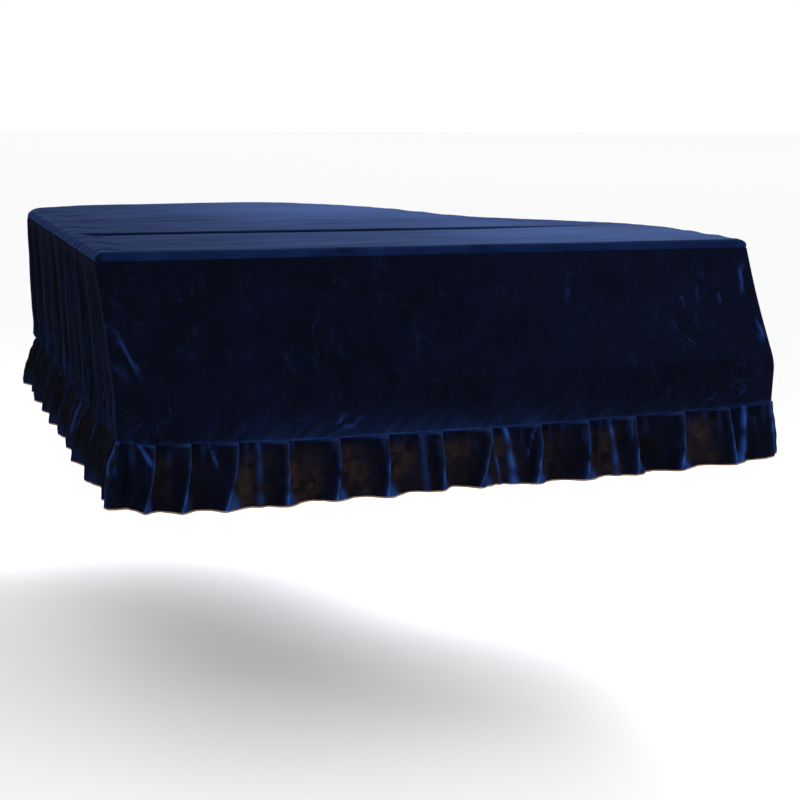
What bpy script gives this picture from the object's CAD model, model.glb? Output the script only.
import math
import bpy
import numpy as np
from mathutils import Matrix, Vector
from mathutils.geometry import delaunay_2d_cdt


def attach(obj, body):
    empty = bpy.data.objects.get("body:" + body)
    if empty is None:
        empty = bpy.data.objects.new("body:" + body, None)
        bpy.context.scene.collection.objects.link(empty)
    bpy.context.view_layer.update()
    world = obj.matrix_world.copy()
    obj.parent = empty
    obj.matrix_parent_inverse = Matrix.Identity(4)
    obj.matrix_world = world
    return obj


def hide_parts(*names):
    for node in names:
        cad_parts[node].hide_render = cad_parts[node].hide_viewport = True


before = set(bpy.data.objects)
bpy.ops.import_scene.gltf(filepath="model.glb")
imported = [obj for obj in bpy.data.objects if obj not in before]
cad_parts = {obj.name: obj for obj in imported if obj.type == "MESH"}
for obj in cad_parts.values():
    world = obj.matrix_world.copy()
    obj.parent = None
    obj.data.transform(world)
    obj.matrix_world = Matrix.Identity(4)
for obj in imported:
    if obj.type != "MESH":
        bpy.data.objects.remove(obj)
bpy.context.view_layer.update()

# The camera stands a little left of the keyboard end and 0.32 m above the lid. Places are
# measured from the front left corner of the lid, on top of the cloth.
LID_CORNER = Vector((-0.720, -0.620, 0.002))
EYE = Vector((-0.493, -3.304, 0.319))
EYE_YAW = math.radians(19.15)
EYE_PITCH = math.radians(10.77)
EYE_ROLL = math.radians(0.64)
LENS_MM = 71.4
camera = bpy.data.objects.new("camera", bpy.data.cameras.new("camera"))
camera.data.lens = LENS_MM
camera.data.sensor_width = 36.0
turn = Matrix.Rotation(-EYE_YAW, 4, "Z") @ Matrix.Rotation(math.pi / 2 - EYE_PITCH, 4, "X")
camera.matrix_world = Matrix.Translation(LID_CORNER + EYE) @ turn @ Matrix.Rotation(EYE_ROLL, 4, "Z")
bpy.context.scene.collection.objects.link(camera)
bpy.context.scene.camera = camera
bpy.context.scene.view_settings.view_transform = "Standard"


# A plain pale floor, 1.085 m under the lid, and soft studio light: a large lamp behind and
# above, which runs along the top, a wide one in front, and a small one at the right.
def linear(code):
    """An sRGB hex colour as linear red, green, blue and alpha."""
    parts = [int(code[i:i + 2], 16) / 255 for i in (1, 3, 5)]
    return [p / 12.92 if p <= 0.04045 else ((p + 0.055) / 1.055) ** 2.4 for p in parts] + [1.0]


def node(material, kind, links=(), **settings):
    """Add a node, set its properties and its sockets, and link its inputs."""
    made = material.node_tree.nodes.new(kind)
    for name, value in settings.items():
        if hasattr(made, name):
            setattr(made, name, value)
        else:
            made.inputs[name.replace("_", " ")].default_value = value
    for socket, source in links:
        material.node_tree.links.new(source, made.inputs[socket])
    return made


def ramp(material, source, low, high):
    """A blend from one colour to another; low and high are each a position and a colour."""
    made = node(material, "ShaderNodeValToRGB", [("Fac", source)])
    for element, (position, colour) in zip(made.color_ramp.elements, (low, high)):
        element.position = position
        element.color = linear(colour)
    return made.outputs["Color"]


FLOOR_DROP = 1.085
FLOOR_HALF = 60.0
floor_mesh = bpy.data.meshes.new("studio_floor")
floor_z = LID_CORNER.z - FLOOR_DROP
corners = [(x, y, floor_z) for x, y in ((-1, -1), (1, -1), (1, 1), (-1, 1))]
floor_mesh.from_pydata([(x * FLOOR_HALF, y * FLOOR_HALF, z) for x, y, z in corners], [], [(0, 1, 2, 3)])
floor = bpy.data.objects.new("studio_floor", floor_mesh)
bpy.context.scene.collection.objects.link(floor)
paper = bpy.data.materials.new("matt_studio_paper")
paper.use_nodes = True
paper_shader = paper.node_tree.nodes["Principled BSDF"]
paper_shader.inputs["Roughness"].default_value = 0.9
paper_grain = node(paper, "ShaderNodeTexNoise", Scale=3.0)
paper_tone = ramp(paper, paper_grain.outputs["Fac"], (0.0, "#f7f7f8"), (1.0, "#fdfdfd"))
paper.node_tree.links.new(paper_tone, paper_shader.inputs["Base Color"])
floor_mesh.materials.append(paper)

world = bpy.data.worlds.new("studio_air")
world.use_nodes = True
world.node_tree.nodes["Background"].inputs["Color"].default_value = linear("#ffffff")
world.node_tree.nodes["Background"].inputs["Strength"].default_value = 1.0
bpy.context.scene.world = world

# Columns: name, place, what it points at, width, height, watts, colour.
LAMPS = (
    ("back_lamp", (2.4, 1.7, 1.3), (0.8, 0.5, 0.0), 1.6, 1.2, 90.0, "#f4f6ff"),
    ("front_lamp", (-1.6, -3.0, 2.2), (0.5, 0.0, -0.2), 2.0, 1.6, 30.0, "#eef3ff"),
    ("right_lamp", (4.0, -1.6, 0.7), (0.9, 0.0, -0.3), 1.2, 1.8, 34.0, "#ffeedd"),
)
for name, place, aim, width, height, watts, colour in LAMPS:
    lamp = bpy.data.lights.new(name, "AREA")
    lamp.shape = "RECTANGLE"
    lamp.size = width
    lamp.size_y = height
    lamp.energy = watts
    lamp.color = linear(colour)[:3]
    holder = bpy.data.objects.new(name, lamp)
    holder.location = LID_CORNER + Vector(place)
    holder.rotation_euler = (Vector(aim) - Vector(place)).to_track_quat("-Z", "Y").to_euler()
    bpy.context.scene.collection.objects.link(holder)

# Two flat panels of velvet lie on the lid: one over its front flap and one over the rest.
# They are cut to the lid's outline, sewn together along a straight seam that sinks at the
# flap's hinge, and turned down 2 cm round the edge, where the pile rides over the lid's rim.
LID_WIDTH = 1.500
KEYBED_REACH = 0.180
CORNER_RADIUS = 0.012
CROSS_SEAM_Y = 0.460
FAN_END_Y = 0.450
STRIP_DROP = 0.020
SEAM_GAP = 0.0008
CLOTH = 0.0016
# Plan at the ruffle seam, run round anticlockwise. Columns: x, y, heading in degrees.
PLAN = (
    (CORNER_RADIUS, -KEYBED_REACH, 0),
    (LID_WIDTH - CORNER_RADIUS, -KEYBED_REACH, 0),
    (LID_WIDTH, -KEYBED_REACH + CORNER_RADIUS, 90),
    (LID_WIDTH, 0.250, 90),
    (1.400, 0.545, 132),
    (1.210, 0.710, 138),
    (1.055, 0.990, 105),
    (0.860, 1.370, 135),
    (0.620, 1.478, 180),
    (0.200, 1.432, 187),
    (0.000, 1.260, 270),
    (0.000, -KEYBED_REACH + CORNER_RADIUS, 270),
    (CORNER_RADIUS, -KEYBED_REACH, 360),
)
SPAN_POINTS = 60
TANGENT = 1.10
# How the front falls. Columns: depth below the top, y.
FRONT_FALL = (
    (0.000, 0.000),
    (0.002, -0.006),
    (0.007, -0.011),
    (0.014, -0.0136),
    (0.020, -0.0140),
    (0.080, -0.050),
    (0.180, -0.113),
    (0.258, -0.166),
    (0.275, -0.177),
    (0.295, -0.182),
    (0.370, -0.180),
    (0.400, -0.180),
)
# The front edge of the keyboard end is lower at the left. Columns: x, depth.
CREASE = ((0.0, 0.279), (LID_WIDTH, 0.262))
CREASE_DEPTH = 0.275
# How the sides and the tail fall. Columns: depth below the top, distance outwards.
SIDE_FALL = (
    (0.000, 0.000),
    (0.003, 0.009),
    (0.009, 0.0165),
    (0.015, 0.0195),
    (0.020, 0.0200),
    (0.120, 0.013),
    (0.250, 0.009),
    (0.370, 0.007),
    (0.400, 0.007),
)


def rounded(table, values, reach):
    """Read a two-column table with its corners rounded over a reach."""
    rows = np.array(table)
    total = 0.0
    for share in (-1.0, -0.5, 0.0, 0.5, 1.0):
        total = total + np.interp(values + share * reach, rows[:, 0], rows[:, 1]) / 5
    return total


def plan_outline():
    """Points, headings and running length of the plan."""
    points = []
    headings = []
    for (x0, y0, head0), (x1, y1, head1) in zip(PLAN, PLAN[1:]):
        start = np.array((x0, y0))
        end = np.array((x1, y1))
        reach = TANGENT * np.linalg.norm(end - start)
        turn0 = reach * np.array((math.cos(math.radians(head0)), math.sin(math.radians(head0))))
        turn1 = reach * np.array((math.cos(math.radians(head1)), math.sin(math.radians(head1))))
        t = (np.arange(SPAN_POINTS) / SPAN_POINTS)[:, None]
        points.append((2 * t**3 - 3 * t**2 + 1) * start + (t**3 - 2 * t**2 + t) * turn0
                      + (3 * t**2 - 2 * t**3) * end + (t**3 - t**2) * turn1)
        slope = ((6 * t**2 - 6 * t) * (start - end) + (3 * t**2 - 4 * t + 1) * turn0
                 + (3 * t**2 - 2 * t) * turn1)
        headings.append(slope / np.linalg.norm(slope, axis=1)[:, None])
    points = np.concatenate(points + [points[0][:1]])
    headings = np.concatenate(headings + [headings[0][:1]])
    steps = np.linalg.norm(np.diff(points, axis=0), axis=1)
    return points, headings, np.concatenate(((0.0,), np.cumsum(steps)))


PLAN_POINTS, PLAN_HEADINGS, PLAN_RUN = plan_outline()
ROUND = PLAN_RUN[-1]


def plan_at(run):
    """Place and outward normal on the plan at a running length."""
    run = np.mod(run, ROUND)
    x, y = (np.interp(run, PLAN_RUN, PLAN_POINTS[:, axis]) for axis in (0, 1))
    head_x, head_y = (np.interp(run, PLAN_RUN, PLAN_HEADINGS[:, axis]) for axis in (0, 1))
    size = np.hypot(head_x, head_y)
    return x, y, head_y / size, -head_x / size


def run_at_side(y, right):
    """Running length where the right or the left side passes a given y."""
    tail = int(np.argmax(PLAN_POINTS[:, 1]))
    if right:
        return float(np.interp(y, PLAN_POINTS[SPAN_POINTS:tail, 1], PLAN_RUN[SPAN_POINTS:tail]))
    return float(np.interp(-y, -PLAN_POINTS[tail:-1, 1], PLAN_RUN[tail:-1]))


def ring(run, depth, fold):
    """A point of the cover at a running length and depth, moved outwards by its fold."""
    x, y, out_x, out_y = plan_at(run)
    crease = np.interp(x, *np.array(CREASE).T)
    reach = np.clip(depth * 0.35, 0.001, 0.010)
    front = rounded(FRONT_FALL, depth * CREASE_DEPTH / crease, reach)
    side = rounded(SIDE_FALL, depth, reach)
    squeeze = (FAN_END_Y - front) / (FAN_END_Y + KEYBED_REACH)
    y = np.where(y < FAN_END_Y, FAN_END_Y - (FAN_END_Y - y) * squeeze, y)
    x = x + out_x * (side + fold) + LID_CORNER.x
    y = y + np.maximum(out_y, 0.0) * side + out_y * fold + LID_CORNER.y
    return np.stack(np.broadcast_arrays(x, y, LID_CORNER.z - depth), axis=-1)


def swell(a, b, length, seed, stretch=1.0):
    """Soft random undulation over two coordinates, about 1 high; stretch makes it longer in a."""
    rng = np.random.default_rng(seed)
    total = 0.0
    for _ in range(10):
        angle = rng.uniform(0, 2 * math.pi)
        pitch = length * rng.uniform(0.7, 1.5)
        wave = math.cos(angle) * a / stretch + math.sin(angle) * b
        total = total + np.sin(2 * math.pi * wave / pitch + rng.uniform(0, 2 * math.pi))
    return total / 3.2


def ease(value):
    """A smooth step from 0 to 1."""
    value = np.clip(value, 0.0, 1.0)
    return value * value * (3 - 2 * value)


def cloth_object(name, verts, faces, materials, slot, replaced, **marks):
    """A sheet of cloth with its own thickness, which rides on the cover and replaces a solid."""
    mesh = bpy.data.meshes.new(name)
    mesh.from_pydata([tuple(v) for v in verts], [], faces)
    mesh.shade_smooth()
    for material in materials:
        mesh.materials.append(material)
    for mark, values in marks.items():
        layer = mesh.attributes.new(mark, "FLOAT", "POINT")
        layer.data.foreach_set("value", np.clip(values, 0.0, 1.0).ravel().astype(np.float32))
    piece = bpy.data.objects.new(name, mesh)
    bpy.context.scene.collection.objects.link(piece)
    solidify = piece.modifiers.new("cloth thickness", "SOLIDIFY")
    solidify.thickness = CLOTH
    solidify.offset = -1.0
    solidify.material_offset = 1
    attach(piece, "root")
    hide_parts(replaced)
    return piece


def grid_faces(columns, rows, first=0):
    """Quads of a grid of points, columns along the cover and rows downwards, faces outwards."""
    faces = []
    for i in range(columns - 1):
        for j in range(rows - 1):
            a = first + i * rows + j
            faces.append((a, a + 1, a + rows + 1, a + rows))
    return faces


# Polyester velvet with a short, slightly crushed pile. Seen straight on it looks almost black;
# along the pile it shows a blue sheen. Where a fold opens the pile it is lit blue, where it is
# brushed up it is paler, and where it is pressed flat its brown ground shows.
OPENED_PILE = "#224488"
RAISED_PILE = "#4a5f8e"
GROUND_DARK = "#171110"
GROUND_LIGHT = "#2b2220"
# The crush marks follow the edges of cells, which bend aside by up to the swerve, in metres.
# Their half width is a share of a cell.
CREASE_CELL_MM = 44.0
CREASE_HALF_WIDTH = 0.024
CREASE_BEND_MM = 26.0
CREASE_SWERVE = 0.022
CREASE_CLUSTER_MM = 70.0
CREASE_RELIEF_MM = 1.5
CRUMPLE_LENGTH_MM = 26.0
# The pile's tufts are 0.4 mm apart; they are drawn at 2 mm so that they show.
TUFT_MM = 2.0
TUFT_RELIEF_MM = 0.15


def noise(material, place, length_mm, **settings):
    """A noise whose features are about as long as a length."""
    return node(material, "ShaderNodeTexNoise", [("Vector", place)], Scale=1000 / length_mm, **settings)


def calc(material, operation, *values):
    """A Math node; each value is a number or another node's output."""
    made = node(material, "ShaderNodeMath", operation=operation)
    for index, value in enumerate(values):
        if isinstance(value, float):
            made.inputs[index].default_value = value
        else:
            material.node_tree.links.new(value, made.inputs[index])
    return made.outputs["Value"]


def laid_over(material, share, under, over):
    """One colour laid over another by a share."""
    made = node(material, "ShaderNodeMixRGB", [("Fac", share), ("Color1", under)])
    if isinstance(over, str):
        made.inputs["Color2"].default_value = linear(over)
    else:
        material.node_tree.links.new(over, made.inputs["Color2"])
    return made.outputs["Color"]


# The numbers of a velvet: its two tones; how strong its sheen is, its tint and its spread; how
# its pattern is drawn out along x, y and z; the length and relief of its patches; how far its
# crush marks show; and the relief of its crumples.
def velvet(name, deep, crushed, sheen, tint, spread, drawn, patch_mm, relief_mm, creased,
           crumple_mm=0.0):
    """Velvet with two tones of pile, a sheen, crush marks and worn places."""
    material = bpy.data.materials.new(name)
    material.use_nodes = True
    shader = material.node_tree.nodes["Principled BSDF"]
    shader.inputs["Roughness"].default_value = 0.9
    shader.inputs["Specular IOR Level"].default_value = 0.0
    shader.inputs["Sheen Weight"].default_value = sheen
    shader.inputs["Sheen Roughness"].default_value = spread
    shader.inputs["Sheen Tint"].default_value = linear(tint)
    place = node(material, "ShaderNodeTexCoord").outputs["Object"]
    along = node(material, "ShaderNodeMapping", [("Vector", place)], Scale=drawn).outputs["Vector"]
    patches = noise(material, along, patch_mm, Detail=9.0, Roughness=0.66, Distortion=0.3).outputs["Fac"]
    pile = ramp(material, patches, (0.38, deep), (0.68, crushed))
    # Crush marks: short crooked creases, 2 mm wide, in loose clusters.
    wander = noise(material, along, CREASE_BEND_MM, Detail=3.0)
    bent = node(material, "ShaderNodeVectorMath", [(0, wander.outputs["Color"]), (2, along)],
                operation="MULTIPLY_ADD")
    bent.inputs[1].default_value = (CREASE_SWERVE, CREASE_SWERVE, CREASE_SWERVE)
    cells = node(material, "ShaderNodeTexVoronoi", [("Vector", bent.outputs["Vector"])],
                 feature="DISTANCE_TO_EDGE", Scale=1000 / CREASE_CELL_MM)
    line = node(material, "ShaderNodeMapRange", [("Value", cells.outputs["Distance"])],
                From_Max=CREASE_HALF_WIDTH, To_Min=1.0, To_Max=0.0)
    clusters = noise(material, place, CREASE_CLUSTER_MM, Detail=4.0, Roughness=0.7)
    cluster = node(material, "ShaderNodeMapRange", [("Value", clusters.outputs["Fac"])],
                   From_Min=0.50, From_Max=0.66)
    crease = calc(material, "MULTIPLY", line.outputs["Result"], cluster.outputs["Result"])
    crease_share = calc(material, "MULTIPLY", crease, creased)
    creased_pile = laid_over(material, crease_share, pile, OPENED_PILE)
    opened, raised, pressed = (node(material, "ShaderNodeAttribute", attribute_name=mark).outputs["Fac"]
                               for mark in ("opened_pile", "raised_pile", "pressed_pile"))
    lit = laid_over(material, opened, creased_pile, OPENED_PILE)
    brushed = laid_over(material, raised, lit, RAISED_PILE)
    crumples = noise(material, place, CRUMPLE_LENGTH_MM, Detail=5.0, Distortion=0.9).outputs["Fac"]
    ground = ramp(material, crumples, (0.34, GROUND_DARK), (0.58, GROUND_LIGHT))
    worn = laid_over(material, pressed, brushed, ground)
    material.node_tree.links.new(worn, shader.inputs["Base Color"])
    tufts = noise(material, place, TUFT_MM, Detail=2.0).outputs["Fac"]
    height = calc(material, "MULTIPLY", tufts, TUFT_RELIEF_MM)
    height = calc(material, "MULTIPLY_ADD", patches, relief_mm, height)
    height = calc(material, "MULTIPLY_ADD", crumples, crumple_mm, height)
    height = calc(material, "MULTIPLY_ADD", crease_share, CREASE_RELIEF_MM, height)
    bump = node(material, "ShaderNodeBump", [("Height", height)], Distance=0.001, Strength=0.9)
    material.node_tree.links.new(bump.outputs["Normal"], shader.inputs["Normal"])
    return material


velvet_top = velvet("velvet_along_the_pile", "#04081a", "#0a1433", 0.20, "#627ab0", 0.40,
                    (0.30, 1.0, 1.0), 60.0, 0.22, 0.03)
velvet_back = velvet("woven_back_of_the_velvet", "#0a0c14", "#101422", 0.05, "#8090b0", 0.5,
                     (1.0, 1.0, 1.0), 9.0, 0.3, 0.0)

SEAM_TUCK = 0.0014
TOP_GRID = 0.009
SEAM_DIP = 0.0062
SEAM_DIP_REACH = 0.120
SEAM_LIP = 0.0060
SEAM_FADE_X = 1.445
STRIP_DEPTHS = np.array((0.0, 0.0006, 0.0014, 0.0024, 0.0037, 0.0053, 0.0073, 0.0096, 0.0122, 0.0148,
                         0.0174, STRIP_DROP))
STRIP_BULGE = np.array((0.0, 0.1, 0.25, 0.45, 0.7, 0.9, 1.0, 1.0, 0.8, 0.55, 0.25, 0.0))
# The seams of the strip stand out a little at the front right corner.
CORNER_FULLNESS = 0.004
# Creases where the cloth is drawn over the lid's left edge. Columns: x and y of the start,
# x and y of the end, half width, depth.
TOP_CREASES = (
    (0.030, 0.800, 0.150, 0.850, 0.014, 0.0052),
    (0.015, 0.260, 0.070, 0.120, 0.013, 0.0050),
    (0.090, 0.160, 0.240, 0.130, 0.012, 0.0016),
    (0.020, 0.980, 0.110, 1.030, 0.015, 0.0030),
    (0.010, 0.640, 0.080, 0.600, 0.011, 0.0034),
    (0.010, 1.160, 0.080, 1.200, 0.015, 0.0030),
    (0.010, 0.400, 0.060, 0.330, 0.011, 0.0040),
    (0.250, 1.180, 0.520, 1.220, 0.018, 0.0016),
    (0.180, 0.900, 0.420, 0.915, 0.014, 0.0014),
    (0.700, 0.700, 1.000, 0.690, 0.016, 0.0012),
    (0.500, 0.300, 0.900, 0.330, 0.016, 0.0010),
    (0.004, 0.075, 0.050, 0.012, 0.010, 0.0040),
)
# Where the pile is brushed up. Columns: x, y, radius, strength.
BRUSHED_PLACES = (
    (0.72, 1.20, 0.60, 0.16),
    (1.20, 0.20, 0.45, 0.12),
)
# How much darker a crease is for each metre of its depth.
CREASE_SHADE = 60.0


def bell(distance, width):
    """A smooth hump, 1 at its middle and 0 beyond its width."""
    return np.where(np.abs(distance) < width, np.cos(distance / width * math.pi / 2) ** 2, 0.0)


def stroke(a, b, a0, b0, a1, b1, width, taper=0.0):
    """A long hump between two places; with taper it is narrower at its start."""
    length = math.hypot(a1 - a0, b1 - b0)
    step_a = (a1 - a0) / length
    step_b = (b1 - b0) / length
    ahead = ((a - a0) * step_a + (b - b0) * step_b) / length
    aside = (a - a0) * step_b - (b - b0) * step_a
    width = width * (1 - taper * (1 - np.clip(ahead, 0.0, 1.0)))
    return bell(aside, width) * bell(ahead - 0.5, 0.7)


def rim_wrinkle(x, y):
    """Narrow wrinkles that run in from the lid's edge."""
    return np.clip(swell(x, y, 0.040, 12, stretch=3.0), 0.0, 1.2) ** 2


def top_height(x, y):
    """How the cloth lies on the lid: a dip before the cross seam, wrinkles at the left edge."""
    before = CROSS_SEAM_Y - y
    dip = np.where(before > 0, SEAM_DIP * (1 - ease(before / SEAM_DIP_REACH)),
                   0.0008 * (1 - ease(-before / 0.010)))
    dip = dip * ease((x - 0.004) / 0.05) * ease((SEAM_FADE_X - x) / 0.45)
    edge = np.exp(-np.maximum(x, 0.0) / 0.06)
    drawn = 0.0005 * swell(x, y, 0.090, 11, stretch=5.0) + 0.0002 * swell(x, y, 0.026, 13, stretch=6.0)
    wrinkled = -0.0028 * edge * rim_wrinkle(x, y)
    height = drawn + wrinkled - dip
    for x0, y0, x1, y1, width, depth in TOP_CREASES:
        height = height - depth * stroke(x, y, x0, y0, x1, y1, width)
    return height


def top_piece(name, start, end, lip, replaced):
    """A flat panel and its turned-down strip, between two running lengths of the outline."""
    runs = np.linspace(start, end, int((end - start) / TOP_GRID * 1.6) + 1)
    pinched = np.maximum(swell(runs, 0 * runs, 0.028, 24), 0.0) ** 2
    pinched = pinched * ease((-plan_at(runs)[2] - 0.2) / 0.5)
    lump = (0.0009 * swell(runs, 0 * runs, 0.110, 21) + 0.0005 * swell(runs, 0 * runs, 0.045, 23)
            - 0.0011 * pinched)
    lump = lump + CORNER_FULLNESS * bell(np.mod(runs - PLAN_RUN[2 * SPAN_POINTS] + 0.01, ROUND), 0.05)
    ends = ease(np.minimum(runs - start, end - runs) / 0.03)
    bulge = (lump * ends)[:, None] * STRIP_BULGE[None, :]
    rim = ring(runs[:, None], STRIP_DEPTHS[None, :], bulge - SEAM_TUCK * ease(STRIP_DEPTHS / 0.004 - 4.0))
    outline = rim[:, 0, :2]
    low = outline.min(axis=0) + TOP_GRID * 0.6
    high = outline.max(axis=0) - TOP_GRID * 0.6
    across = np.arange(low[0], high[0], TOP_GRID)
    along = np.arange(low[1], high[1], TOP_GRID)
    inside = np.array([(x, y) for x in across for y in along])
    apart = np.array([np.hypot(*(outline - point).T).min() for point in inside])
    inside = inside[apart > TOP_GRID * 0.6]
    rim_count = len(runs)
    seam_steps = int(np.linalg.norm(outline[0] - outline[-1]) / TOP_GRID)
    shares = np.linspace(0, 1, seam_steps + 1)[1:-1, None]
    seam = outline[-1] + shares * (outline[0] - outline[-1])
    flat = np.concatenate((outline, seam, inside))
    ring_count = rim_count + len(seam)
    loop = [(i, (i + 1) % ring_count) for i in range(ring_count)]
    verts2, _, faces2, kept, _, _ = delaunay_2d_cdt([Vector(p) for p in flat], loop, [], 1, 1e-6)
    order = {}
    for new, olds in enumerate(kept):
        for old in olds:
            order[old] = new
    count = len(verts2)
    points = np.array([(v.x, v.y, LID_CORNER.z) for v in verts2])
    points[:, 2] += top_height(points[:, 0] - LID_CORNER.x, points[:, 1] - LID_CORNER.y)
    faces = [tuple(face) for face in faces2]
    rows = len(STRIP_DEPTHS)
    settle = 1 - ease(STRIP_DEPTHS / 0.010)
    first = rim[:, 0]
    lie = top_height(first[:, 0] - LID_CORNER.x, first[:, 1] - LID_CORNER.y)
    rim[:, :, 2] += lie[:, None] * settle[None, :]
    seam_line = [rim_count - 1] + list(range(rim_count, ring_count)) + [0]
    lips = points[[order[i] for i in seam_line]] - np.array((0.0, 0.0, lip))
    verts = np.concatenate((points, rim[:, 1:].reshape(-1, 3), lips))

    def spot(i, j):
        return order[i] if j == 0 else count + i * (rows - 1) + j - 1
    for i in range(rim_count - 1):
        for j in range(rows - 1):
            faces.append((spot(i, j), spot(i, j + 1), spot(i + 1, j + 1), spot(i + 1, j)))
    below = len(verts) - len(lips)
    for step, (a, b) in enumerate(zip(seam_line, seam_line[1:])):
        faces.append((order[a], below + step, below + step + 1, order[b]))
    patchy = 0.85 + 0.20 * swell(runs, 0 * runs, 0.080, 22)[:, None]
    patchy = patchy + 0.15 * swell(runs[:, None], STRIP_DEPTHS[None, 1:], 0.012, 25)
    patchy = patchy - 0.55 * pinched[:, None]
    opened = 0.11 * ease(STRIP_DEPTHS[None, 1:] / 0.004) * patchy
    opened = np.concatenate((np.zeros(count), opened.ravel(), np.zeros(len(lips))))
    lid_x = points[:, 0] - LID_CORNER.x
    lid_y = points[:, 1] - LID_CORNER.y
    brushed = 0.19 * np.clip((lid_x - 0.12) / 0.9, 0.0, 1.0)
    for x0, y0, radius, strength in BRUSHED_PLACES:
        brushed = brushed + strength * bell(np.hypot(lid_x - x0, lid_y - y0), radius)
    brushed = brushed - 0.10 * ease((lid_x - 1.00) / 0.30) * ease((lid_y - 0.40) / 0.10)
    brushed = brushed + 0.03 * swell(lid_x, lid_y, 0.20, 26, stretch=3.0) * ease(lid_x / 0.3)
    brushed = brushed + 0.03 * swell(lid_x, lid_y, 0.060, 27, stretch=5.0)
    brushed = brushed + 0.05 - 0.22 * np.exp(-np.maximum(lid_x, 0.0) / 0.05) * rim_wrinkle(lid_x, lid_y)
    for x0, y0, x1, y1, width, depth in TOP_CREASES:
        brushed = brushed - CREASE_SHADE * depth * stroke(lid_x, lid_y, x0, y0, x1, y1, width)
    edge_line = 0.24 * np.exp(-STRIP_DEPTHS[None, 1:] / 0.0012) * (0.8 + 0.2 * patchy)
    brushed = np.concatenate((brushed, edge_line.ravel(), np.zeros(len(lips))))
    return cloth_object(name, verts, faces, (velvet_top, velvet_back), "velvet_top", replaced,
                        opened_pile=opened, raised_pile=brushed)


seam_right = run_at_side(CROSS_SEAM_Y, True)
seam_left = run_at_side(CROSS_SEAM_Y, False)
half_gap = SEAM_GAP / 2
top_front = top_piece("velvet_top_front", seam_left + half_gap, ROUND + seam_right - half_gap,
                      0.003, "top_front_panel")
top_rear = top_piece("velvet_top_rear", seam_right + half_gap, seam_left - half_gap, SEAM_LIP,
                     "top_rear_panel")

# The front is one smooth panel. It hangs from the strip, slopes out over the keys, bends over
# the keybed's front edge and falls to the ruffle. It is strained at its corners, where the pile
# catches the light on long slanting folds, and puckered where the ruffle's seam draws it up.
PANEL_RETURN = 0.008
# How far a sewn edge reaches past its seam, behind the next piece.
SEAM_OVERLAP = 0.0015
# Depth of the ruffle seam along the front. Columns: x, depth.
FRONT_SEAM = (
    (0.00, 0.368),
    (0.06, 0.378),
    (0.35, 0.386),
    (0.80, 0.385),
    (1.03, 0.381),
    (1.27, 0.374),
    (1.39, 0.370),
    (1.50, 0.361),
)
# Strained folds and small creases. Columns: x and depth of the start, x and depth of the end,
# half width, height, how far the pile is opened.
FRONT_FOLDS = (
    (-0.004, 0.128, 0.056, 0.262, 0.0150, 0.0070, 0.42),
    (-0.002, 0.196, 0.028, 0.264, 0.0130, 0.0040, 0.10),
    (0.000, 0.078, 0.034, 0.126, 0.0060, 0.0012, 0.10),
    (-0.004, 0.030, 0.006, 0.105, 0.0070, -0.0040, 0.00),
    (1.490, 0.040, 1.466, 0.130, 0.0200, 0.0050, 0.75),
    (1.489, 0.165, 1.484, 0.235, 0.0170, 0.0045, 0.60),
    (1.358, 0.095, 1.350, 0.127, 0.0070, 0.0020, 0.45),
    (1.256, 0.165, 1.274, 0.207, 0.0060, -0.0024, 0.10),
    (1.272, 0.203, 1.312, 0.231, 0.0060, -0.0024, 0.10),
    (1.264, 0.160, 1.286, 0.202, 0.0060, 0.0016, 0.26),
    (1.284, 0.200, 1.322, 0.226, 0.0060, 0.0016, 0.26),
    (1.412, 0.107, 1.400, 0.148, 0.0070, 0.0018, 0.40),
    (1.385, 0.060, 1.372, 0.092, 0.0060, 0.0012, 0.22),
    (1.330, 0.135, 1.372, 0.118, 0.0060, 0.0012, 0.22),
    (1.300, 0.110, 1.318, 0.150, 0.0060, 0.0012, 0.30),
    (1.340, 0.150, 1.328, 0.190, 0.0060, 0.0012, 0.30),
    (1.440, 0.310, 1.406, 0.354, 0.0045, 0.0014, 0.42),
    (1.368, 0.320, 1.314, 0.368, 0.0045, 0.0012, 0.28),
    (1.030, 0.060, 1.020, 0.150, 0.0120, 0.0012, 0.14),
    (1.062, 0.130, 1.075, 0.190, 0.0070, 0.0010, 0.14),
    (0.905, 0.085, 0.885, 0.150, 0.0070, 0.0010, 0.10),
    (0.455, 0.100, 0.406, 0.196, 0.0060, 0.0014, 0.16),
    (0.406, 0.196, 0.422, 0.262, 0.0060, 0.0012, 0.14),
    (0.500, 0.040, 0.478, 0.100, 0.0060, 0.0010, 0.10),
    (0.340, 0.190, 0.372, 0.255, 0.0060, 0.0010, 0.14),
    (0.655, 0.120, 0.640, 0.250, 0.0080, 0.0010, 0.12),
    (-0.002, 0.333, 0.046, 0.316, 0.0040, 0.0012, 0.16),
    (0.022, 0.344, 0.050, 0.320, 0.0045, 0.0014, 0.20),
    (0.012, 0.352, 0.036, 0.335, 0.0040, 0.0010, 0.12),
    (0.074, 0.326, 0.078, 0.364, 0.0090, 0.0014, 0.16),
    (0.182, 0.326, 0.188, 0.374, 0.0070, 0.0012, 0.10),
    (0.234, 0.342, 0.242, 0.384, 0.0060, 0.0014, 0.14),
    (0.412, 0.384, 0.502, 0.328, 0.0060, -0.0045, 0.00),
    (0.432, 0.388, 0.527, 0.333, 0.0150, 0.0040, 0.30),
    (0.438, 0.360, 0.480, 0.328, 0.0150, 0.0030, 0.30),
)
PUCKER_COUNT = 60
CRUSH_COUNT = 150
# How the front panel's left edge wanders to the right. Columns: depth, distance.
EDGE_SWAY = ((0.02, 0.000), (0.07, 0.002), (0.13, 0.006), (0.18, 0.008), (0.21, 0.003), (0.25, 0.006),
             (0.31, 0.001), (0.37, 0.000))
SWAY_REACH = 0.060


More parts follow.
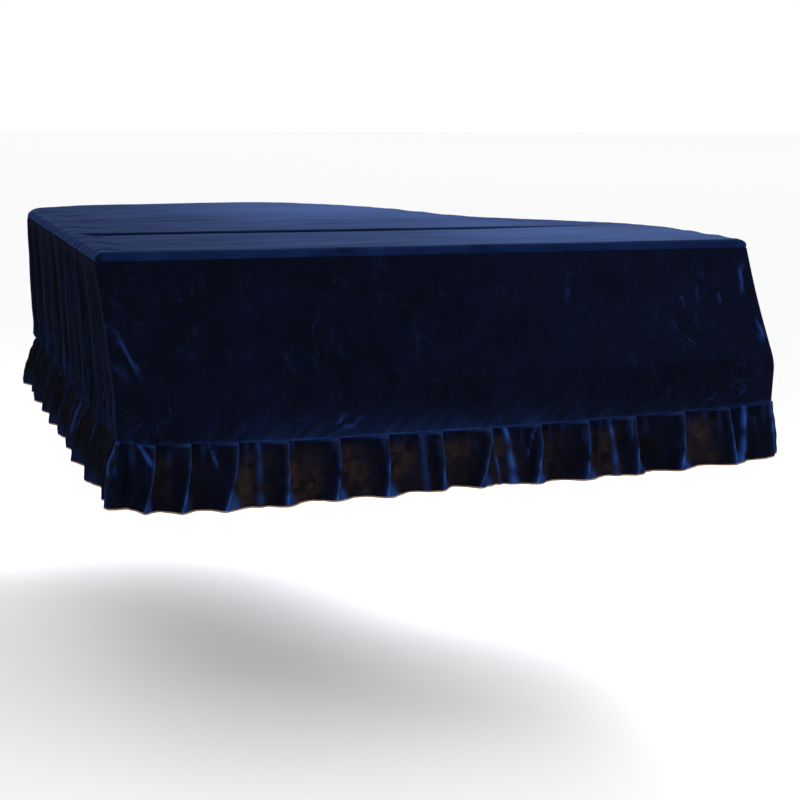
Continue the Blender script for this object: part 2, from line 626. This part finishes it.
def seam_depth(run):
    """Depth of the ruffle seam: the front sags, and the sides run level to its ends."""
    x, y, out_x, out_y = plan_at(run)
    front = rounded(FRONT_SEAM, x, 0.03)
    first = LID_WIDTH - CORNER_RADIUS
    share = np.clip((np.mod(run, ROUND) - first) / (ROUND - first), 0.0, 1.0)
    side = FRONT_SEAM[-1][1] + share * (FRONT_SEAM[0][1] - FRONT_SEAM[-1][1])
    return np.where(out_y < -0.5, front, side)


velvet_front = velvet("velvet_facing_the_eye", "#070912", "#090c1d", 0.13, "#6570bc", 0.30,
                      (1.0, 1.0, 0.50), 60.0, 0.28, 0.10)
turn_run = PLAN_RUN[2 * SPAN_POINTS] + PANEL_RETURN
back_run = ROUND - (turn_run - PLAN_RUN[SPAN_POINTS])
runs = np.linspace(back_run - ROUND, turn_run, 430)
share = np.linspace(0.0, 1.0, 112)
top = STRIP_DROP - SEAM_OVERLAP
depths = top + share[None, :] * (seam_depth(runs)[:, None] - top)
sway = rounded(EDGE_SWAY, depths, 0.02)
runs = runs[:, None] + sway * (1 - ease((runs - runs[0]) / SWAY_REACH))[:, None]
x = plan_at(runs)[0]
fold = 0.0011 * swell(x, depths, 0.16, 31) + 0.0004 * swell(x, depths, 0.045, 32)
opened = np.zeros_like(depths)
crooked_x = x + 0.0028 * swell(x, depths, 0.032, 35)
crooked_depths = depths + 0.0028 * swell(x, depths, 0.032, 36)
for x0, depth0, x1, depth1, width, height, glint in FRONT_FOLDS:
    crest = stroke(crooked_x, crooked_depths, x0, depth0, x1, depth1, width, taper=0.5)
    fold = fold + height * crest
    opened = opened + glint * crest ** 3 * (0.8 + 0.2 * swell(x, depths, 0.015, 33))
rng = np.random.default_rng(5)
for _ in range(PUCKER_COUNT):
    centre = rng.uniform(0.02, LID_WIDTH - 0.02)
    lean = rng.uniform(-0.9, 0.9)
    rise = rng.uniform(0.006, 0.022)
    tall = rng.uniform(0.0003, 0.0009)
    above = np.interp(centre, *np.array(FRONT_SEAM).T) - depths
    pucker = bell(x - centre - lean * above, 0.006) * np.exp(-np.maximum(above, 0) / rise)
    fold = fold + tall * pucker
    opened = opened + tall / 0.0090 * pucker
# The pile is brushed up above the ruffle seam, most between 0.35 and 0.70 m from the left.
above = np.interp(x, *np.array(FRONT_SEAM).T) - depths
zone = ease((x - 0.10) / 0.25) * (1 - 0.75 * ease((x - 0.70) / 0.50))
streaks = swell(x + above, x - above, 0.030, 34, stretch=4.0)
opened = opened + 0.10 * zone * np.exp(-above / 0.030) * (1 + 0.5 * streaks)
opened = opened + (0.08 + 0.22 * zone) * bell(above - 0.003, 0.004)
for _ in range(CRUSH_COUNT):
    mark_x = LID_WIDTH * rng.uniform(0.0, 1.0) ** 0.7
    mark_depth = rng.uniform(0.03, 0.34)
    angle = rng.normal(0.0, 0.55)
    reach = rng.uniform(0.010, 0.034)
    width = rng.uniform(0.0038, 0.0062)
    crushed = stroke(crooked_x, crooked_depths, mark_x, mark_depth, mark_x + reach * math.sin(angle),
                     mark_depth + reach * math.cos(angle), width)
    opened = opened + rng.uniform(0.01, 0.05) * crushed
    fold = fold + rng.uniform(-0.0006, 0.0008) * crushed
crease_depth = np.interp(x, *np.array(CREASE).T)
opened = opened + 0.014 * ease((x - 0.5) / 0.6) * (1 - ease((depths - crease_depth + 0.012) / 0.012))
fold = fold + 0.0012 * bell(above - 0.006, 0.006)
edge = np.minimum(x, LID_WIDTH - x)
free = ease(edge / 0.012) * ease((1.0 - share) / 0.01) * ease(share / 0.04)
tuck = SEAM_TUCK * (1 - ease(share / 0.012) + ease((share - 0.99) / 0.01))
points = ring(runs, depths, fold * free - tuck)
front = cloth_object("velvet_front", points.reshape(-1, 3), grid_faces(*depths.shape),
                     (velvet_front, velvet_back), "velvet_front", "front_panel", opened_pile=opened)

# The skirt is one long strip, gathered on to the turned-down edge of the top and sewn to the
# ruffle below. It hangs in soft upright folds, and small gathers fan back from the keyboard end.

# Folds round the right side and the tail. Columns: spacing, depth, drift.
SKIRT_FOLDS = (
    (0.070, 0.0050, 0.010),
    (0.098, 0.0075, -0.008),
    (0.082, 0.0045, 0.004),
    (0.115, 0.0080, -0.012),
    (0.076, 0.0060, 0.006),
    (0.104, 0.0050, 0.000),
)
# Folds of the left side, from the tail forwards. Columns: y, depth, drift.
LEFT_FOLDS = (
    (1.270, 0.0060, 0.004),
    (1.120, 0.0070, -0.006),
    (0.940, 0.0045, 0.008),
    (0.760, 0.0060, -0.004),
    (0.590, 0.0050, 0.010),
    (0.475, 0.0065, 0.000),
    (0.210, 0.0085, -0.010),
    (0.050, 0.0045, 0.006),
)
# How far below the top the fan of small gathers starts.
FAN_DEPTH = 0.205
# Columns: share of the way down, share of a fold's depth.
SKIRT_SWELL = ((0.0, 0.15), (0.17, 0.80), (0.46, 1.0), (0.68, 0.95), (0.79, 0.80), (1.0, 0.25))


def repeat_rows(table, start, end):
    """Lay a repeating table of spacings along a stretch, stretched to fit it evenly."""
    length = end - start
    cycle = sum(row[0] for row in table)
    count = max(1, round(length / cycle))
    scale = length / (count * cycle)
    places = []
    run = start
    for _ in range(count):
        for row in table:
            places.append((run, row))
            run += row[0] * scale
    return places


# A seam allowance: how far it reaches behind the next panel, and how deep it lies.
LAP_REACH = 0.003
LAP_DEPTH = 0.0026


def lapped(points, runs, marks):
    """Add a seam allowance at both ends of a panel: it turns in and lies behind the next one."""
    added = []
    for end, sense in ((0, -1), (-1, 1)):
        _, _, out_x, out_y = plan_at(runs[end])
        turned = points[end] - LAP_DEPTH * np.stack((out_x, out_y, 0 * out_x), axis=-1)
        beyond = turned + sense * LAP_REACH * np.stack((-out_y, out_x, 0 * out_x), axis=-1)
        added.append((turned, beyond))
    (turned0, beyond0), (turned1, beyond1) = added
    points = np.concatenate((beyond0[None], turned0[None], points, turned1[None], beyond1[None]))
    return points, [np.pad(mark, ((2, 2), (0, 0)), mode="edge") for mark in marks]


def side_gathers(depths, runs):
    """The small folds that the seam between skirt and ruffle draws up on both sides of it."""
    return swell(depths, runs, 0.028, 42, stretch=3.0)


velvet_skirt = velvet("velvet_in_gathers", "#08090d", "#0b0d18", 0.065, "#6c7299", 0.3,
                      (1.0, 1.0, 0.12), 30.0, 0.40, 0.03)
left_start = run_at_side(LEFT_FOLDS[0][0], False)
places = [(run, depth, drift) for run, (_, depth, drift)
          in repeat_rows(SKIRT_FOLDS, turn_run + SEAM_GAP, left_start)]
places += [(run_at_side(y, False), depth, drift) for y, depth, drift in LEFT_FOLDS]
places.append((back_run - SEAM_GAP, 0.0, 0.0))
centres, fold_depths, drifts = np.array(places).T
run_mid = np.linspace(centres[0], centres[-1], 1040)
column = np.interp(run_mid, centres, np.arange(len(centres)))
ends = ease((run_mid - centres[0]) / 0.05) * ease((centres[-1] - run_mid) / 0.05)
drift = np.interp(column, np.arange(len(centres)), drifts) * ends
high = np.interp(column, np.arange(len(centres)), fold_depths)
share = np.linspace(0.0, 1.0, 44)
runs = run_mid[:, None] + drift[:, None] * (share[None, :] - 0.5)
sway = rounded(EDGE_SWAY, top + share * (FRONT_SEAM[0][1] - top), 0.02)
runs = runs + sway[None, :] * (1 - ease((centres[-1] - run_mid) / SWAY_REACH))[:, None]
crest = 0.5 + 0.5 * np.cos(2 * math.pi * column)
wave = 2 * crest ** 1.6 - 0.8
fold = (high * wave)[:, None] * rounded(SKIRT_SWELL, share, 0.06)[None, :]
depths = top + share[None, :] * (seam_depth(runs) - top)
upright = swell(depths, runs, 0.036, 41, stretch=12.0)
fine = swell(depths, runs, 0.020, 43, stretch=14.0)
fold = fold + (0.0016 * upright + 0.0007 * fine) * ease(share / 0.10)
# The gathers fan back from the front corner of the keyboard end, and rise from the ruffle.
behind = np.maximum(back_run + sway[None, :] - runs, 0.0)
spread = behind / np.maximum(depths - FAN_DEPTH, 0.004)
fan = np.sin(2 * math.pi * 2.6 * np.sqrt(spread + 0.02))
fan = fan * ease((depths - FAN_DEPTH) / 0.07) * (1 - ease((behind - 0.15) / 0.25)) * ease(behind / 0.02)
fold = fold + 0.0030 * fan
gathers = side_gathers(depths, runs) * ease((share - 0.60) / 0.35)
fold = fold + 0.0036 * gathers
opened = 0.06 * crest[:, None] ** 8 * ease(share / 0.2)[None, :] * (0.7 + 0.5 * upright)
opened = opened + 0.03 * np.clip(upright, 0, 1) ** 3 + 0.03 * np.clip(fine, 0, 1) ** 3
opened = opened + 0.07 * np.clip(fan, 0, 1) ** 5 + 0.08 * np.clip(gathers, 0, 1) ** 4
free = ends[:, None] * ease((1.0 - share) / 0.04) * ease((share + 0.02) / 0.08)
tuck = SEAM_TUCK * (1 - ease(share / 0.012) + ease((share - 0.99) / 0.01))
points = ring(runs, depths, fold * free - tuck)
points, (opened,) = lapped(points, runs, (opened,))
skirt = cloth_object("velvet_skirt", points.reshape(-1, 3), grid_faces(*opened.shape),
                     (velvet_skirt, velvet_back), "velvet_skirt", "side_skirt", opened_pile=opened)

# The ruffle is a strip a hand wide, laid in soft knife pleats and sewn under the front panel
# and the skirt. Each pleat swells to a folded edge, turns back under it and swells again, and
# it opens out towards the hem.
RUFFLE_DROP = 0.126
RUFFLE_FLARE = 0.022
RUFFLE_WAVE_TOP = 0.003
RUFFLE_WAVE_HEM = 0.023
# Columns: x at the seam, x at the hem, strength, how far the pile behind it is pressed flat.
FRONT_PLEATS = (
    (0.002, -0.003, 0.45, 0.05),
    (0.068, 0.034, 1.15, 0.35),
    (0.141, 0.113, 1.00, 0.20),
    (0.240, 0.203, 1.00, 0.80),
    (0.346, 0.334, 0.90, 0.95),
    (0.457, 0.441, 0.95, 0.85),
    (0.566, 0.552, 1.05, 0.70),
    (0.687, 0.680, 0.90, 0.95),
    (0.801, 0.761, 1.00, 0.70),
    (0.919, 0.897, 0.95, 0.45),
    (1.033, 1.017, 1.00, 0.70),
    (1.150, 1.144, 0.85, 0.10),
    (1.271, 1.250, 1.00, 1.00),
    (1.387, 1.391, 1.00, 0.05),
    (1.498, 1.504, -0.40, 0.00),
)
# Softer ridges between the pleats. Columns: x at the seam, x at the hem, half width, height,
# how far down they reach, how far the pile is opened.
FRONT_RIDGES = (
    (-0.003, -0.005, 0.006, 0.004, 1.0, 0.60),
    (0.010, 0.008, 0.008, -0.012, 1.0, 0.00),
    (0.036, 0.112, 0.020, 0.003, 0.20, 0.70),
    (0.178, 0.225, 0.007, 0.003, 0.28, 0.45),
    (0.281, 0.286, 0.018, 0.006, 1.0, 0.24),
    (0.639, 0.649, 0.014, 0.005, 1.0, 0.26),
    (0.835, 0.856, 0.020, 0.009, 1.0, 0.85),
    (0.801, 0.825, 0.010, 0.006, 0.9, 0.45),
    (0.905, 0.860, 0.007, 0.003, 0.45, 0.35),
    (1.085, 1.105, 0.015, 0.007, 1.0, 0.50),
    (1.140, 1.128, 0.008, 0.003, 0.30, 0.30),
    (1.425, 1.420, 0.018, 0.009, 1.0, 0.85),
)
# The same on the left side, in y.
LEFT_RIDGES = (
    (0.905, 0.880, 0.012, 0.007, 1.0, 0.4),
    (0.745, 0.765, 0.013, -0.008, 1.0, 0.0),
    (0.600, 0.580, 0.011, 0.007, 1.0, 0.5),
    (0.455, 0.475, 0.011, -0.008, 1.0, 0.0),
    (0.336, 0.352, 0.013, 0.005, 0.60, 2.2),
    (0.290, 0.280, 0.010, 0.006, 1.0, 0.4),
    (0.150, 0.168, 0.011, -0.008, 1.0, 0.0),
    (0.105, 0.095, 0.009, 0.006, 0.7, 1.2),
)
SIDE_PRESSED = 0.12
# Round the sides and the tail. Columns: spacing, shift at the hem, strength.
SIDE_PLEATS = (
    (0.150, 0.010, 1.00),
    (0.175, -0.012, 0.85),
    (0.130, 0.006, 1.10),
    (0.180, 0.000, 0.90),
    (0.140, -0.009, 1.05),
)
# Along the left side, from the tail forwards. Columns: y, shift at the hem, strength.
LEFT_PLEATS = (
    (1.250, 0.006, 0.80),
    (1.110, -0.008, 0.40),
    (0.985, 0.014, 0.80),
    (0.815, -0.012, 0.60),
    (0.680, 0.016, 0.82),
    (0.525, -0.004, 0.55),
    (0.385, 0.010, 0.45),
    (0.225, -0.002, 0.85),
    (0.050, 0.016, 0.80),
)
# The cloth's way through one pleat, from one folded edge to the next. Columns: share of the
# spacing at the seam, share of the wave there, and the same two at the hem.
PLEAT_WAY = (
    (0.00, 1.00, 0.00, 1.00),
    (-0.09, 0.55, 0.10, 0.80),
    (-0.20, -0.40, 0.22, 0.20),
    (-0.12, -1.00, 0.36, -0.55),
    (0.12, -1.00, 0.48, -0.95),
    (0.35, -0.75, 0.62, -0.95),
    (0.62, -0.20, 0.78, -0.35),
    (0.86, 0.60, 0.91, 0.60),
)
# How much longer the front ruffle hangs. Columns: x, added length.
HEM_DROP = ((0.0, 0.007), (0.05, 0.011), (0.20, 0.011), (0.30, 0.008), (0.40, 0.002), (0.60, 0.002),
            (0.70, -0.005), (0.80, -0.003), (1.00, 0.001), (1.50, 0.001))
# How far the pile is pressed flat on the way from one folded edge to the next.
PLEAT_PRESSED = (0.3, 0.9, 1.0, 1.0, 0.85, 0.30, 0.0)
SHORT_PLEAT = 0.030
SOFT_PLEAT = 0.070
PLEAT_COLUMNS = 46
# Near its ends a ruffle opens like its neighbour, and lies smooth.
JOINED_OPEN_POWER = 2.0
JOINED_REACH = 0.030
CALM_REACH = 0.012
# How each ruffle is laid. Columns: how fast it opens below its seam, how fast its pleats turn
# over, how far they turn under at the seam, how brightly their folded edges are lit, and how
# far it swells at the seam. The side ruffle is gathered more closely than the front one.
FRONT_HABIT = (1.7, 1.6, 1.0, 1.0, 0.0035)
SIDE_HABIT = (2.1, 0.7, 0.2, 0.20, 0.0008)


def way(values, position):
    """A smooth curve through evenly numbered values."""
    index = np.clip(np.floor(position).astype(int), 0, len(values) - 2)
    t = position - index
    padded = np.concatenate((2 * values[:1] - values[1:2], values, 2 * values[-1:] - values[-2:-1]))
    p0, p1, p2, p3 = (padded[index + k] for k in range(4))
    return 0.5 * (2 * p1 + (p2 - p0) * t + (2 * p0 - 5 * p1 + 4 * p2 - p3) * t**2
                  + (3 * p1 - p0 - 3 * p2 + p3) * t**3)


def ruffle(name, edges, ridges, start, end, rows, seed, habit, cloth, replaced, lapping):
    """A pleated ruffle; edges has rows of running length at seam and hem, strength, pressing."""
    open_power, turn_power, turned, glint, lip = habit
    inner = start + PANEL_RETURN
    outer = end - PANEL_RETURN
    stops = [(inner, inner, 0.5, 0.0)] + list(edges) + [(outer, outer, 0.5, 0.0)]
    keys = [(start, 0.0, start, 0.0, 0.0, 0.0, 0.0), (inner, 0.0, inner, 0.0, 0.0, 0.0, 0.0)]
    for (seam0, hem0, strong0, worn), (seam1, hem1, strong1, _) in zip(stops, stops[1:]):
        if seam0 > inner:
            keys.append((seam0, strong0, hem0, strong0, float(seam0 - inner > SHORT_PLEAT), 0.3, 0.0))
        if seam1 - seam0 < SHORT_PLEAT:
            continue
        for step, (seam_part, seam_wave, hem_part, hem_wave) in enumerate(PLEAT_WAY[1:]):
            seam_part = hem_part + turned * (seam_part - hem_part)
            seam_wave = hem_wave + turned * (seam_wave - hem_wave)
            if seam0 <= inner:
                seam_part = max(seam_part, 0.05 * hem_part)
            strong = strong0 + hem_part * (strong1 - strong0)
            keys.append((seam0 + seam_part * (seam1 - seam0), seam_wave * strong,
                         hem0 + hem_part * (hem1 - hem0), hem_wave * strong, 0.0,
                         float(step < 2 and seam1 - seam0 > SOFT_PLEAT),
                         worn * PLEAT_PRESSED[step]))
    keys += [(outer, 0.0, outer, 0.0, 0.0, 0.0, 0.0), (end, 0.0, end, 0.0, 0.0, 0.0, 0.0)]
    keys = np.array(keys)
    columns = int((len(keys) - 1) * PLEAT_COLUMNS / len(PLEAT_WAY))
    position = np.linspace(0.0, len(keys) - 1, columns)
    seam, seam_wave, hem, hem_wave, edge, flank, flat = (way(keys[:, k], position)[:, None]
                                                         for k in range(7))
    share = np.linspace(0.0, 1.0, rows)[None, :] ** 1.25
    turnover = share ** turn_power
    runs = seam + (hem - seam) * turnover
    from_end = np.minimum(runs - start, end - runs)
    joined = 1 - ease(from_end / JOINED_REACH)
    opening = 1 - (1 - share) ** (open_power + (JOINED_OPEN_POWER - open_power) * joined)
    wave = seam_wave + (hem_wave - seam_wave) * turnover
    height = RUFFLE_WAVE_TOP + (RUFFLE_WAVE_HEM - RUFFLE_WAVE_TOP) * opening
    shoulder = lip * ease(share / 0.02) * (1 - ease((share - 0.03) / 0.12)) * ease(0.5 + 0.5 * wave)
    fold = RUFFLE_FLARE * opening + wave * height + shoulder
    drop = share * RUFFLE_DROP
    patchy = 0.75 + 0.35 * swell(runs, drop, 0.045, seed + 5)
    opened = (0.22 * np.clip(edge, 0, 1) ** 2 + 0.60 * np.clip(edge, 0, 1) ** 12) * patchy
    opened = opened + 0.45 * np.clip(flank, 0, 1) * ease((share - 0.55) / 0.45) * patchy
    opened = opened + 0.40 * ease(0.5 + 0.5 * wave) * (1 - ease(share / 0.05))
    for ridge_seam, ridge_hem, width, tall, reach, lit in ridges:
        ridge = bell(runs - ridge_seam - (ridge_hem - ridge_seam) * share, width * (0.6 + 0.6 * share))
        ridge = ridge * (1 - ease((share - reach) / 0.25))
        fold = fold + tall * ridge * ease((share + 0.1) / 0.4)
        opened = opened + lit * ridge ** 3 * patchy
    crumple = swell(runs, drop, 0.028, seed)
    gathers = side_gathers(seam_depth(runs) + drop, runs)
    fold = fold + 0.0018 * gathers * ease((share + 0.02) / 0.06) * (1 - 0.6 * ease((share - 0.3) / 0.6))
    drawn_in = ease(share / 0.04) * (1 - ease((share - 0.1) / 0.5))
    opened = opened + 0.08 * np.clip(gathers, 0, 1) ** 3 * drawn_in
    patchily = ease(0.42 + 0.8 * swell(drop, runs, 0.060, seed + 2, stretch=1.6))
    pressed = np.clip(flat, 0, 1) * ease((share - 0.05) / 0.25) * (1 - 0.7 * ease((share - 0.90) / 0.08))
    opened = glint * opened
    pressed = pressed * (0.45 + 0.55 * patchily) * (1 - np.clip(2 * opened, 0, 0.8))
    fold = fold + 0.0010 * crumple * ease(share / 0.15)
    fold = fold + 0.0022 * swell(runs, drop, 0.090, seed + 1) * share
    calm = ease(from_end / CALM_REACH)
    fold = RUFFLE_FLARE * opening + (fold - RUFFLE_FLARE * opening) * calm
    sewn = 1 - ease(share / 0.012)
    fold = fold * (1 - sewn) - SEAM_TUCK * sewn
    points = ring(runs, seam_depth(runs) - SEAM_OVERLAP, fold)
    x, y, out_x, out_y = plan_at(runs)
    longer = np.where(out_y < -0.2, np.interp(x, *np.array(HEM_DROP).T), 0.0)
    points[..., 2] -= (drop + longer * share) * (1 - 0.02 * wave * share)
    hem_line = points[:, -1]
    if lapping:
        points, (opened, pressed) = lapped(points, runs, (opened, pressed))
    piece = cloth_object(name, points.reshape(-1, 3), grid_faces(*opened.shape), (cloth, velvet_back),
                         "velvet_ruffle", replaced, opened_pile=opened, pressed_pile=0.9 * pressed)
    length = np.linalg.norm(np.diff(hem_line, axis=0), axis=1).sum()
    return piece, hem_line, length


velvet_ruffle = velvet("velvet_in_pleats", "#06070f", "#0a0d1d", 0.17, "#4a64c0", 0.30,
                       (1.0, 1.0, 0.5), 40.0, 0.45, 0.08, 1.3)
front_edges = [(seam - CORNER_RADIUS, hem - CORNER_RADIUS, strong, flat)
               for seam, hem, strong, flat in FRONT_PLEATS]
front_ridges = [(seam - CORNER_RADIUS, hem - CORNER_RADIUS, width, tall, reach, lit)
                for seam, hem, width, tall, reach, lit in FRONT_RIDGES]
front_ruffle, front_hem, front_cut = ruffle("velvet_front_ruffle", front_edges, front_ridges,
                                            back_run - ROUND, turn_run, 34, 51, FRONT_HABIT,
                                            velvet_ruffle, "front_ruffle", False)
side_edges = []
left_start = run_at_side(LEFT_PLEATS[0][0], False)
for run, (_, shift, strong) in repeat_rows(SIDE_PLEATS, turn_run + SEAM_GAP, left_start)[1:]:
    side_edges.append((run, run + shift, strong, SIDE_PRESSED))
for y, shift, strong in LEFT_PLEATS:
    run = run_at_side(y, False)
    side_edges.append((run, run + shift, strong, SIDE_PRESSED))
left_ridges = [(run_at_side(seam_y, False), run_at_side(hem_y, False), width, tall, reach, lit)
               for seam_y, hem_y, width, tall, reach, lit in LEFT_RIDGES]
side_ruffle, side_hem, side_cut = ruffle("velvet_side_ruffle", side_edges, left_ridges, turn_run + SEAM_GAP,
                                         back_run - SEAM_GAP, 28, 61, SIDE_HABIT,
                                         velvet_skirt, "side_ruffle", True)

# The raw edge of the ruffle is overlocked in golden-brown thread, 4 mm deep: slanting
# stitches wrap the edge, so that it reads as a thin ribbed cord.
STITCH_MM = 2.4
thread = bpy.data.materials.new("golden_brown_overlock_thread")
thread.use_nodes = True
thread_shader = thread.node_tree.nodes["Principled BSDF"]
thread_shader.inputs["Roughness"].default_value = 0.55
thread_shader.inputs["Specular IOR Level"].default_value = 0.25
thread_shader.inputs["Sheen Weight"].default_value = 0.15
thread_place = node(thread, "ShaderNodeTexCoord")
stitches = node(thread, "ShaderNodeTexWave", [("Vector", thread_place.outputs["UV"])],
                Scale=1000 / STITCH_MM / 2, Distortion=1.0, Detail=1.0)
thread_tone = ramp(thread, stitches.outputs["Fac"], (0.0, "#5e4636"), (1.0, "#a5825f"))
thread.node_tree.links.new(thread_tone, thread_shader.inputs["Base Color"])
thread_bump = node(thread, "ShaderNodeBump", [("Height", stitches.outputs["Fac"])],
                   Distance=0.0006, Strength=0.8)
thread.node_tree.links.new(thread_bump.outputs["Normal"], thread_shader.inputs["Normal"])

THREAD_HALF_HEIGHT = 0.0021
THREAD_HALF_WIDTH = 0.0013
THREAD_SIDES = 8
# How far round the cord one of its sides reaches.
THREAD_STEP = 0.0014


def overlock(name, line):
    """A flat ribbed cord along a hem line."""
    ahead = np.gradient(line, axis=0)
    ahead = ahead / np.linalg.norm(ahead, axis=1)[:, None]
    out = np.stack((ahead[:, 1], -ahead[:, 0], 0 * ahead[:, 0]), axis=-1)
    out = out / np.linalg.norm(out, axis=1)[:, None]
    up = np.cross(out, ahead)
    centre = line - out * CLOTH / 2
    length = np.concatenate(((0.0,), np.cumsum(np.linalg.norm(np.diff(line, axis=0), axis=1))))
    verts = []
    for side in range(THREAD_SIDES):
        angle = 2 * math.pi * side / THREAD_SIDES
        verts.append(centre + out * THREAD_HALF_WIDTH * math.cos(angle)
                     + up * THREAD_HALF_HEIGHT * math.sin(angle))
    verts = np.stack(verts, axis=1).reshape(-1, 3)
    faces = []
    corners = []
    for i in range(len(line) - 1):
        for side in range(THREAD_SIDES):
            following = (side + 1) % THREAD_SIDES
            a = i * THREAD_SIDES
            faces.append((a + side, a + following, a + THREAD_SIDES + following, a + THREAD_SIDES + side))
            low = length[i], side * THREAD_STEP
            high = length[i + 1], (side + 1) * THREAD_STEP
            corners += [low, (low[0], high[1]), high, (high[0], low[1])]
    faces.append(tuple(range(THREAD_SIDES - 1, -1, -1)))
    faces.append(tuple(len(verts) - THREAD_SIDES + side for side in range(THREAD_SIDES)))
    corners += [(0.0, 0.0)] * (2 * THREAD_SIDES)
    mesh = bpy.data.meshes.new(name)
    mesh.from_pydata([tuple(v) for v in verts], [], faces)
    mesh.uv_layers.new(name="UVMap").data.foreach_set("uv", np.array(corners).ravel())
    mesh.shade_smooth()
    mesh.materials.append(thread)
    piece = bpy.data.objects.new(name, mesh)
    bpy.context.scene.collection.objects.link(piece)
    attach(piece, "root")
    return piece


overlock("front_hem_overlock", front_hem)
overlock("side_hem_overlock", side_hem)
